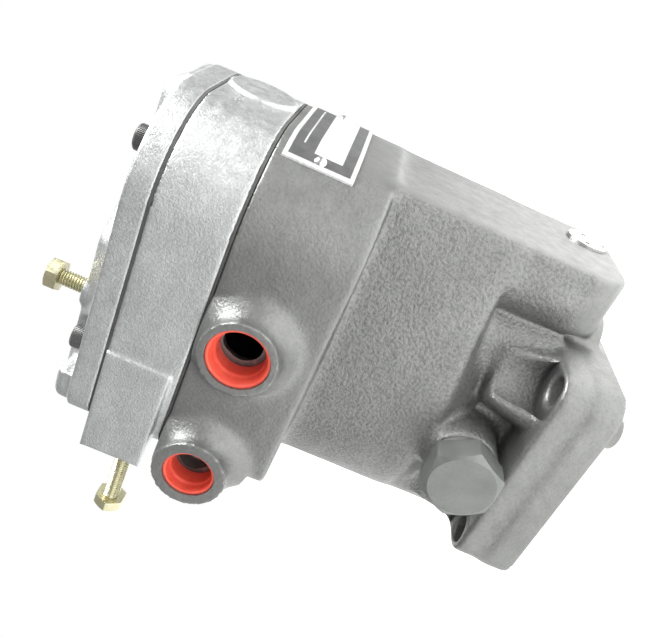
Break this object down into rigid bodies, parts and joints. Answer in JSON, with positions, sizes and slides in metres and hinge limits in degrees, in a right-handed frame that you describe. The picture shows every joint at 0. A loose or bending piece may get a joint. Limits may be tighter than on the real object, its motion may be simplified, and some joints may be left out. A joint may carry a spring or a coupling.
{
  "type": "hydraulic engine governor",
  "caption": "Flange-mounted hydraulic engine governor: painted casting with oil ports, bare spacer and cover, driven flyweights, pilot valve, power piston and output shaft.",
  "frame": {"origin": "centre of the flange's mounting face, on the drive axis", "axes": "+Z along the drive shaft from the flange towards the cover, -Y the side with the oil ports, +X the side with the nameplate"},
  "size_m": [0.1746, 0.169, 0.241],
  "materials": {
    "housing": "satin grey paint over rough casting",
    "bare_casting": "bare cast aluminium",
    "gasket": "pressed fibre gasket",
    "black_steel": "black oxide",
    "zinc": "yellow zinc plate",
    "plate": "bare metal border with grey fields",
    "plug_paint": "dark grey-green paint",
    "bright_steel": "bright turned steel",
    "steel": "ground steel",
    "bronze": "bearing bronze",
    "spring_steel": "spring wire",
    "seal_rubber": "moulded rubber",
    "soft_aluminium": "soft aluminium sealing washer",
    "red_plastic": "moulded red plastic"
  },
  "bodies": {
    "housing": {"housing": "housing", "spacer": "bare_casting", "cover": "bare_casting", "body_gasket": "gasket", "cover_gasket": "gasket", "cover_screws": "black_steel", "dowel_pins": "steel", "nameplate": "plate", "nameplate_rivets": "bright_steel", "relief_plug": "plug_paint", "relief_washer": "soft_aluminium", "relief_spring": "spring_steel", "passage_plug": "bright_steel", "shaft_seal": "seal_rubber", "bearing_circlip": "spring_steel", "bearing_outer_race": "bright_steel", "idler_pin": "steel", "pump_plate": "steel", "pump_plate_screws": "black_steel", "speed_shaft_seal": "seal_rubber", "cylinder_retainer": "steel", "power_spring": "spring_steel", "terminal_shaft_seal": "seal_rubber", "buffer_spring_inner": "spring_steel", "buffer_spring_outer": "spring_steel", "buffer_plug": "plug_paint", "speeder_spring": "spring_steel"},
    "high_stop": {"high_speed_screw": "zinc"},
    "low_stop": {"low_speed_screw": "zinc"},
    "relief": {"relief_valve": "steel"},
    "inlet_protector": {"inlet_sleeve": "red_plastic"},
    "outlet_protector": {"outlet_sleeve": "red_plastic"},
    "drive": {"drive_shaft": "steel", "bearing_inner_race": "bright_steel", "bearing_balls": "bright_steel", "drive_gear": "steel", "rotating_bushing": "steel", "ballhead": "steel", "flyweight_pins": "bright_steel"},
    "idler": {"idler_gear": "steel"},
    "weight_a": {"flyweight_a": "steel"},
    "weight_b": {"flyweight_b": "steel"},
    "pilot": {"pilot_plunger": "bright_steel", "thrust_races": "bright_steel", "thrust_balls": "bright_steel"},
    "speeder": {"speeder_plug": "steel", "speeder_pin": "bright_steel"},
    "speed": {"speed_shaft": "steel", "speed_lever": "steel", "stop_arm": "steel"},
    "power": {"power_piston": "steel", "piston_rod": "bright_steel", "rod_pin": "bright_steel"},
    "terminal": {"terminal_shaft": "steel", "terminal_lever": "steel"},
    "buffer": {"buffer_piston": "bronze"},
    "needle": {"needle_valve": "steel"}
  },
  "joints": [
    {"name": "drive_spin", "type": "hinge", "parent": "housing", "child": "drive", "pos_m": [0, 0, 0], "axis": [0, 0, 1], "continuous": true},
    {"name": "idler_spin", "type": "hinge", "parent": "housing", "child": "idler", "pos_m": [0, 0.026, 0.029], "axis": [0, 0, 1], "continuous": true},
    {"name": "flyweight_a_swing", "type": "hinge", "parent": "drive", "child": "weight_a", "pos_m": [0.017, 0, 0.104], "axis": [0, 1, 0], "range_deg": [-4, 12]},
    {"name": "flyweight_b_swing", "type": "hinge", "parent": "drive", "child": "weight_b", "pos_m": [-0.017, 0, 0.104], "axis": [0, -1, 0], "range_deg": [-4, 12]},
    {"name": "pilot_lift", "type": "slide", "parent": "housing", "child": "pilot", "axis": [0, 0, 1], "range_m": [-0.00059, 0.00178], "stiffness_N_per_m": 5000, "deforming": ["speeder_spring"]},
    {"name": "speed_turn", "type": "hinge", "parent": "housing", "child": "speed", "pos_m": [-0.04, 0, 0.16], "axis": [0, 1, 0], "range_deg": [-7, 7]},
    {"name": "speeder_slide", "type": "slide", "parent": "housing", "child": "speeder", "axis": [0, 0, 1], "range_m": [-0.0049, 0.0049], "deforming": ["speeder_spring"]},
    {"name": "power_stroke", "type": "slide", "parent": "housing", "child": "power", "axis": [0, 0, 1], "range_m": [-0.006, 0.006], "deforming": ["power_spring"]},
    {"name": "terminal_turn", "type": "hinge", "parent": "housing", "child": "terminal", "pos_m": [0.026, 0, 0.131], "axis": [0, -1, 0], "range_deg": [-14.4, 14.4]},
    {"name": "relief_open", "type": "slide", "parent": "housing", "child": "relief", "axis": [0, -1, 0], "range_m": [0, 0.003], "stiffness_N_per_m": 1500, "springref_m": -0.004, "deforming": ["relief_spring"]},
    {"name": "buffer_slide", "type": "slide", "parent": "housing", "child": "buffer", "axis": [0, 1, 0], "range_m": [-0.003, 0.003], "stiffness_N_per_m": 400, "deforming": ["buffer_spring_inner", "buffer_spring_outer"]},
    {"name": "needle_turn", "type": "hinge", "parent": "housing", "child": "needle", "pos_m": [-0.03, 0.054, 0.082], "axis": [0, 1, 0], "range_deg": [-90, 540]},
    {"name": "high_stop_adjust", "type": "slide", "parent": "housing", "child": "high_stop", "axis": [0, 0, 1], "range_m": [-0.0004, 0.006]},
    {"name": "low_stop_adjust", "type": "slide", "parent": "housing", "child": "low_stop", "axis": [-1, 0, 0], "range_m": [-0.001, 0.006]},
    {"name": "inlet_protector_pull", "type": "slide", "parent": "housing", "child": "inlet_protector", "axis": [0, -1, 0], "range_m": [0, 0.016]},
    {"name": "outlet_protector_pull", "type": "slide", "parent": "housing", "child": "outlet_protector", "axis": [0, -1, 0], "range_m": [0, 0.016]}
  ],
  "couplings": [
    {"joint": "idler_spin", "follows": "drive_spin", "ratio": -1},
    {"joint": "flyweight_a_swing", "follows": "pilot_lift", "rad_per_m": 117.65},
    {"joint": "flyweight_b_swing", "follows": "pilot_lift", "rad_per_m": 117.65},
    {"joint": "speeder_slide", "follows": "speed_turn", "m_per_rad": -0.04},
    {"joint": "terminal_turn", "follows": "power_stroke", "rad_per_m": 41.667}
  ]
}
